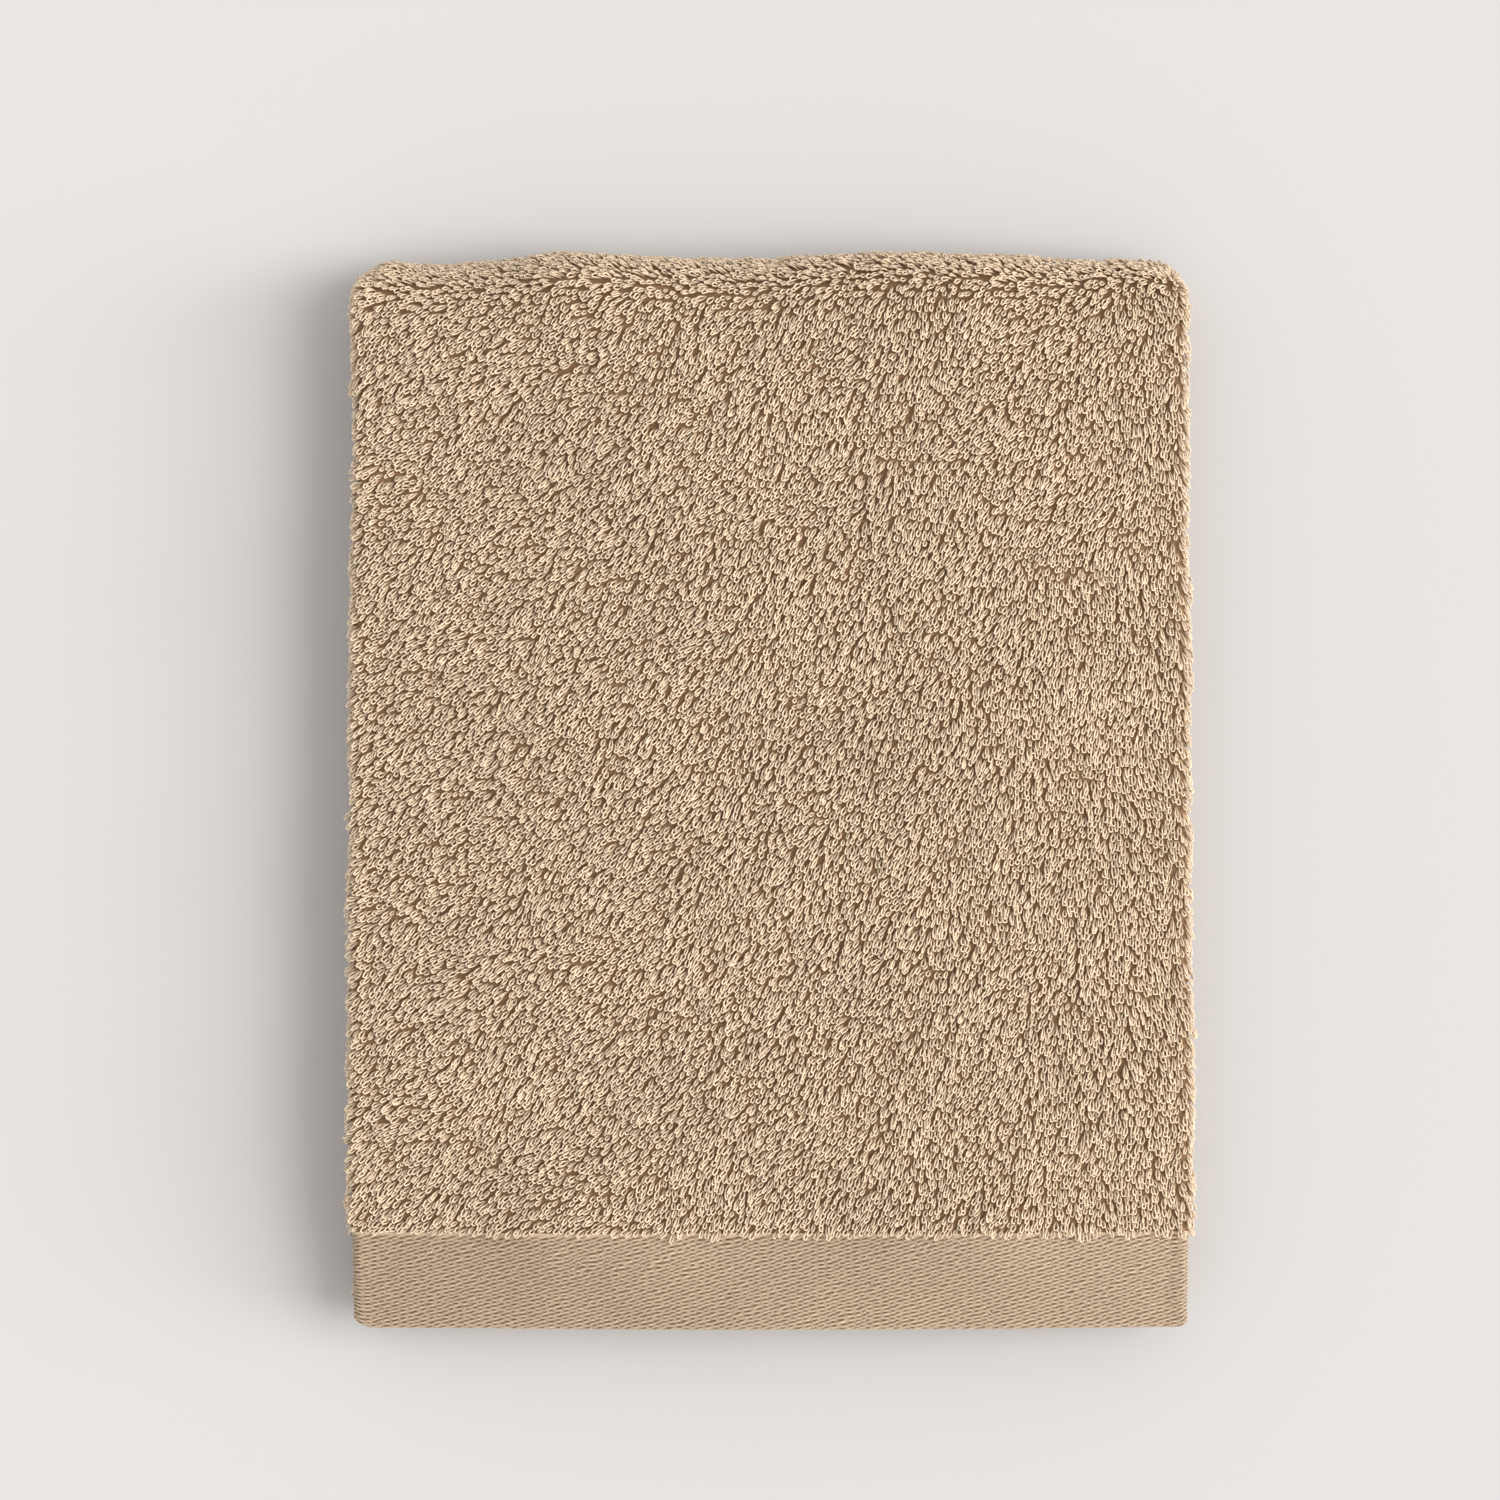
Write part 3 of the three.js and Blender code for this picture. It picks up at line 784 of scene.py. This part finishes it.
class MakeLongHems(bpy.types.Operator):
    """Makes the turned hem down each long side of the cloth"""
    bl_idname = "towel.make_long_hems"
    bl_label = "Long hems"

    def execute(self, context):
        tape = hem_tape(context.scene.towel_colours)
        _, s = cloth_stations(6 * MM, 6 * MM, CLOTH_WIDTH / 2, BORDER_DEPTH, CLOTH_LENGTH - BORDER_DEPTH)
        turn = np.linspace(0, 2 * math.pi, 24, endpoint=False)
        half = (SIDE_HEM - HEM_JOIN) / 2
        flat = np.clip(np.cos(turn) * 1.4, -1, 1) * half
        lift = np.clip(np.sin(turn) * 1.4, -1, 1) * SIDE_HEM_THICKNESS / 2
        for side, word in ((-1, "left"), (1, "right")):
            middle = side * (CLOTH_WIDTH / 2 - half)
            u_grid, s_grid = np.meshgrid(middle + flat, s)
            rib = HEM_RIB * np.sin(s_grid * 2 * math.pi / HEM_RIB_LENGTH)
            # Painted shade: the hem's rolled edges get a lower 'depth' than its flat faces, so they are
            # darker.
            hem = band(f"{word}_long_hem", u_grid, s_grid, lift + rib * np.sign(lift), tape,
                       values={"depth": 0.5 + 0.5 * np.abs(lift + 0 * s_grid) / SIDE_HEM_THICKNESS * 2})
            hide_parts(*[f"{leaf}_leaf_{word}_side_hem"
                               for leaf in ("top", "second", "third", "bottom")])
        return {"FINISHED"}


def stitch_row(u, s, normal_lift, sizes):
    """The middle lines of one row of stitches through the points u, s: each comes up out of the cloth,
    lies along the row for its length and goes down again, as half a sine. On the cloth's back the same
    wave leaves a stitch proud at its ends instead."""
    t = np.linspace(0, 1, 5)
    ahead = np.gradient(s) if np.ptp(s) > np.ptp(u) else 0 * s
    aside = np.gradient(u) if np.ptp(s) <= np.ptp(u) else 0 * u
    share = (t - 0.5) * 0.86
    point, face = place_and_face(u[:, None] + aside[:, None] * share, s[:, None] + ahead[:, None] * share)
    rise = normal_lift - sizes.thread + np.sin(math.pi * t) * sizes.thread * 1.6
    return point + face * rise[None, :, None], face[:, 2]


class MakeStitching(bpy.types.Operator):
    """Makes the rows of lockstitch that hold the hems down"""
    bl_idname = "towel.make_stitching"
    bl_label = "Stitching"

    def execute(self, context):
        sizes = context.scene.towel_sizes
        thread = sewing_thread(context.scene.towel_colours)
        s = np.arange(BORDER_DEPTH, CLOTH_LENGTH - BORDER_DEPTH, sizes.stitch)
        for side, word in ((-1, "left"), (1, "right")):
            u = np.full(len(s), side * (CLOTH_WIDTH / 2 - SIDE_HEM + STITCH_INSET))
            rows = [stitch_row(u, s, lift, sizes) for lift in
                    (SIDE_HEM_THICKNESS / 2, -SIDE_HEM_THICKNESS / 2)]
            centres = np.concatenate([rows[0][0], rows[1][0]])
            up = np.concatenate([rows[0][1], rows[1][1]])
            piece = strands(f"{word}_hem_stitching", centres, sizes.thread, thread, up, sides=4)
        return {"FINISHED"}


def add_light(scene, name, way, spread, strength):
    """A far-off soft light that shines from that way, as wide as spread in radians."""
    light = bpy.data.lights.new(name, "SUN")
    light.energy = strength
    light.angle = spread
    light.color = KEY_TINT
    lamp = bpy.data.objects.new(name, light)
    lamp.location = way
    lamp.rotation_euler = lamp.location.to_track_quat("Z", "Y").to_euler()
    scene.collection.objects.link(lamp)


class SetStage(bpy.types.Operator):
    """Sets the floor, the camera over the towel and the soft light on it"""
    bl_idname = "towel.set_stage"
    bl_label = "Stage"

    def execute(self, context):
        scene, studio = context.scene, context.scene.towel_studio
        bpy.ops.mesh.primitive_plane_add(size=8)
        floor = context.object
        floor.name = "floor"
        floor.data.materials.append(floor_paint(scene.towel_colours))

        top = CAD_BOX[1][2]
        camera = bpy.data.objects.new("camera", bpy.data.cameras.new("camera"))
        camera.location = (studio.view_x, studio.view_y, top + studio.view_height)
        camera.data.lens = camera.data.sensor_width * studio.view_height / studio.view_width
        camera.data.clip_end = 20
        scene.collection.objects.link(camera)
        scene.camera = camera

        add_light(scene, "key", KEY_WAY, KEY_SPREAD, studio.key)
        add_light(scene, "side", SIDE_WAY, SIDE_SPREAD, studio.side)

        world = bpy.data.worlds.new("studio")
        world.use_nodes = True
        world.node_tree.nodes["Background"].inputs["Color"].default_value = FILL_TINT
        world.node_tree.nodes["Background"].inputs["Strength"].default_value = studio.fill
        scene.world = world
        scene.view_settings.view_transform = "Standard"
        return {"FINISHED"}


# ---------------------------------------------------------------- the panel and the run

PIECES = (MakeCloth, MakePile, MakeBorders, MakeLongHems, MakeStitching, SetStage)


class TowelPanel(bpy.types.Panel):
    """Lists the towel's measures and the steps that make it"""
    bl_idname = "VIEW3D_PT_towel"
    bl_label = "Folded terry towel"
    bl_space_type = "VIEW_3D"
    bl_region_type = "UI"
    bl_category = "Towel"

    def draw(self, context):
        for group in (context.scene.towel_sizes, context.scene.towel_colours, context.scene.towel_studio):
            box = self.layout.box()
            for key in group.bl_rna.properties.keys():
                if key not in ("name", "rna_type"):
                    box.prop(group, key)
        for piece in PIECES:
            self.layout.operator(piece.bl_idname)


GROUPS = {"towel_sizes": TowelSizes, "towel_colours": TowelColours, "towel_studio": TowelStudio}


def register():
    for kind in (*GROUPS.values(), *PIECES, TowelPanel):
        bpy.utils.register_class(kind)
    for name, kind in GROUPS.items():
        setattr(bpy.types.Scene, name, PointerProperty(type=kind))


def unregister():
    for name in GROUPS:
        delattr(bpy.types.Scene, name)
    for kind in (TowelPanel, *PIECES[::-1], *GROUPS.values()):
        bpy.utils.unregister_class(kind)


def main():
    register()
    bpy.ops.towel.make_cloth()
    bpy.ops.towel.make_pile()
    bpy.ops.towel.make_borders()
    bpy.ops.towel.make_long_hems()
    bpy.ops.towel.make_stitching()
    bpy.ops.towel.set_stage()


if __name__ == "__main__":
    main()
